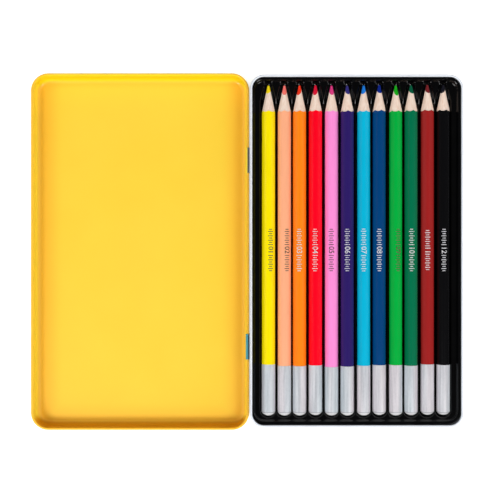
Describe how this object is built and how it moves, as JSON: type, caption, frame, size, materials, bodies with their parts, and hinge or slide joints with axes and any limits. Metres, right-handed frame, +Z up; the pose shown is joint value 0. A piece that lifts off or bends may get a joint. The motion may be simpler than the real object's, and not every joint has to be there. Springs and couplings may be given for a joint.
{
  "type": "colored pencil tin",
  "caption": "Flat hinged metal tin, open, with a formed tray that holds a row of sharpened hexagonal colored pencils with dipped ends.",
  "frame": {"origin": "middle of the base's flat underside", "axes": "+X across the row of pencils, away from the lid; +Y along the pencils, towards their points; +Z up"},
  "size_m": [0.2294, 0.19, 0.014],
  "materials": {
    "base_white": "white gloss lacquer on tinplate",
    "lid_yellow": "yellow gloss lacquer on tinplate",
    "knuckle_dark": "dark print on tinplate",
    "knuckle_blue": "blue print on tinplate",
    "tray_black": "glossy black formed sheet",
    "wood": "cut cedar",
    "dip": "silver dipped lacquer",
    "lacquer_yellow": "gloss lacquer",
    "lead_yellow": "waxy colored lead",
    "lacquer_peach": "gloss lacquer",
    "lead_peach": "waxy colored lead",
    "lacquer_orange": "gloss lacquer",
    "lead_orange": "waxy colored lead",
    "lacquer_red": "gloss lacquer",
    "lead_red": "waxy colored lead",
    "lacquer_pink": "gloss lacquer",
    "lead_pink": "waxy colored lead",
    "lacquer_purple": "gloss lacquer",
    "lead_purple": "waxy colored lead",
    "lacquer_light_blue": "gloss lacquer",
    "lead_light_blue": "waxy colored lead",
    "lacquer_blue": "gloss lacquer",
    "lead_blue": "waxy colored lead",
    "lacquer_green": "gloss lacquer",
    "lead_green": "waxy colored lead",
    "lacquer_dark_green": "gloss lacquer",
    "lead_dark_green": "waxy colored lead",
    "lacquer_brown": "gloss lacquer",
    "lead_brown": "waxy colored lead",
    "lacquer_black": "gloss lacquer",
    "lead_black": "waxy colored lead"
  },
  "bodies": {
    "base": {"base": "base_white", "tray": "tray_black", "knuckle_upper": "knuckle_dark", "knuckle_lower": "knuckle_blue"},
    "lid": {"lid": "lid_yellow"},
    "pencil_yellow": {"wood_yellow": "wood", "lacquer_yellow": "lacquer_yellow", "lead_yellow": "lead_yellow", "dip_yellow": "dip"},
    "pencil_peach": {"wood_peach": "wood", "lacquer_peach": "lacquer_peach", "lead_peach": "lead_peach", "dip_peach": "dip"},
    "pencil_orange": {"wood_orange": "wood", "lacquer_orange": "lacquer_orange", "lead_orange": "lead_orange", "dip_orange": "dip"},
    "pencil_red": {"wood_red": "wood", "lacquer_red": "lacquer_red", "lead_red": "lead_red", "dip_red": "dip"},
    "pencil_pink": {"wood_pink": "wood", "lacquer_pink": "lacquer_pink", "lead_pink": "lead_pink", "dip_pink": "dip"},
    "pencil_purple": {"wood_purple": "wood", "lacquer_purple": "lacquer_purple", "lead_purple": "lead_purple", "dip_purple": "dip"},
    "pencil_light_blue": {"wood_light_blue": "wood", "lacquer_light_blue": "lacquer_light_blue", "lead_light_blue": "lead_light_blue", "dip_light_blue": "dip"},
    "pencil_blue": {"wood_blue": "wood", "lacquer_blue": "lacquer_blue", "lead_blue": "lead_blue", "dip_blue": "dip"},
    "pencil_green": {"wood_green": "wood", "lacquer_green": "lacquer_green", "lead_green": "lead_green", "dip_green": "dip"},
    "pencil_dark_green": {"wood_dark_green": "wood", "lacquer_dark_green": "lacquer_dark_green", "lead_dark_green": "lead_dark_green", "dip_dark_green": "dip"},
    "pencil_brown": {"wood_brown": "wood", "lacquer_brown": "lacquer_brown", "lead_brown": "lead_brown", "dip_brown": "dip"},
    "pencil_black": {"wood_black": "wood", "lacquer_black": "lacquer_black", "lead_black": "lead_black", "dip_black": "dip"}
  },
  "joints": [
    {"name": "lid_hinge", "type": "hinge", "parent": "base", "child": "lid", "pos_m": [-0.05743, 0, 0.008], "axis": [0, -1, 0], "range_deg": [-180, 0]},
    {"name": "lift_yellow", "type": "slide", "parent": "base", "child": "pencil_yellow", "axis": [0, 0, 1], "range_m": [0, 0.03]},
    {"name": "lift_peach", "type": "slide", "parent": "base", "child": "pencil_peach", "axis": [0, 0, 1], "range_m": [0, 0.03]},
    {"name": "lift_orange", "type": "slide", "parent": "base", "child": "pencil_orange", "axis": [0, 0, 1], "range_m": [0, 0.03]},
    {"name": "lift_red", "type": "slide", "parent": "base", "child": "pencil_red", "axis": [0, 0, 1], "range_m": [0, 0.03]},
    {"name": "lift_pink", "type": "slide", "parent": "base", "child": "pencil_pink", "axis": [0, 0, 1], "range_m": [0, 0.03]},
    {"name": "lift_purple", "type": "slide", "parent": "base", "child": "pencil_purple", "axis": [0, 0, 1], "range_m": [0, 0.03]},
    {"name": "lift_light_blue", "type": "slide", "parent": "base", "child": "pencil_light_blue", "axis": [0, 0, 1], "range_m": [0, 0.03]},
    {"name": "lift_blue", "type": "slide", "parent": "base", "child": "pencil_blue", "axis": [0, 0, 1], "range_m": [0, 0.03]},
    {"name": "lift_green", "type": "slide", "parent": "base", "child": "pencil_green", "axis": [0, 0, 1], "range_m": [0, 0.03]},
    {"name": "lift_dark_green", "type": "slide", "parent": "base", "child": "pencil_dark_green", "axis": [0, 0, 1], "range_m": [0, 0.03]},
    {"name": "lift_brown", "type": "slide", "parent": "base", "child": "pencil_brown", "axis": [0, 0, 1], "range_m": [0, 0.03]},
    {"name": "lift_black", "type": "slide", "parent": "base", "child": "pencil_black", "axis": [0, 0, 1], "range_m": [0, 0.03]}
  ]
}
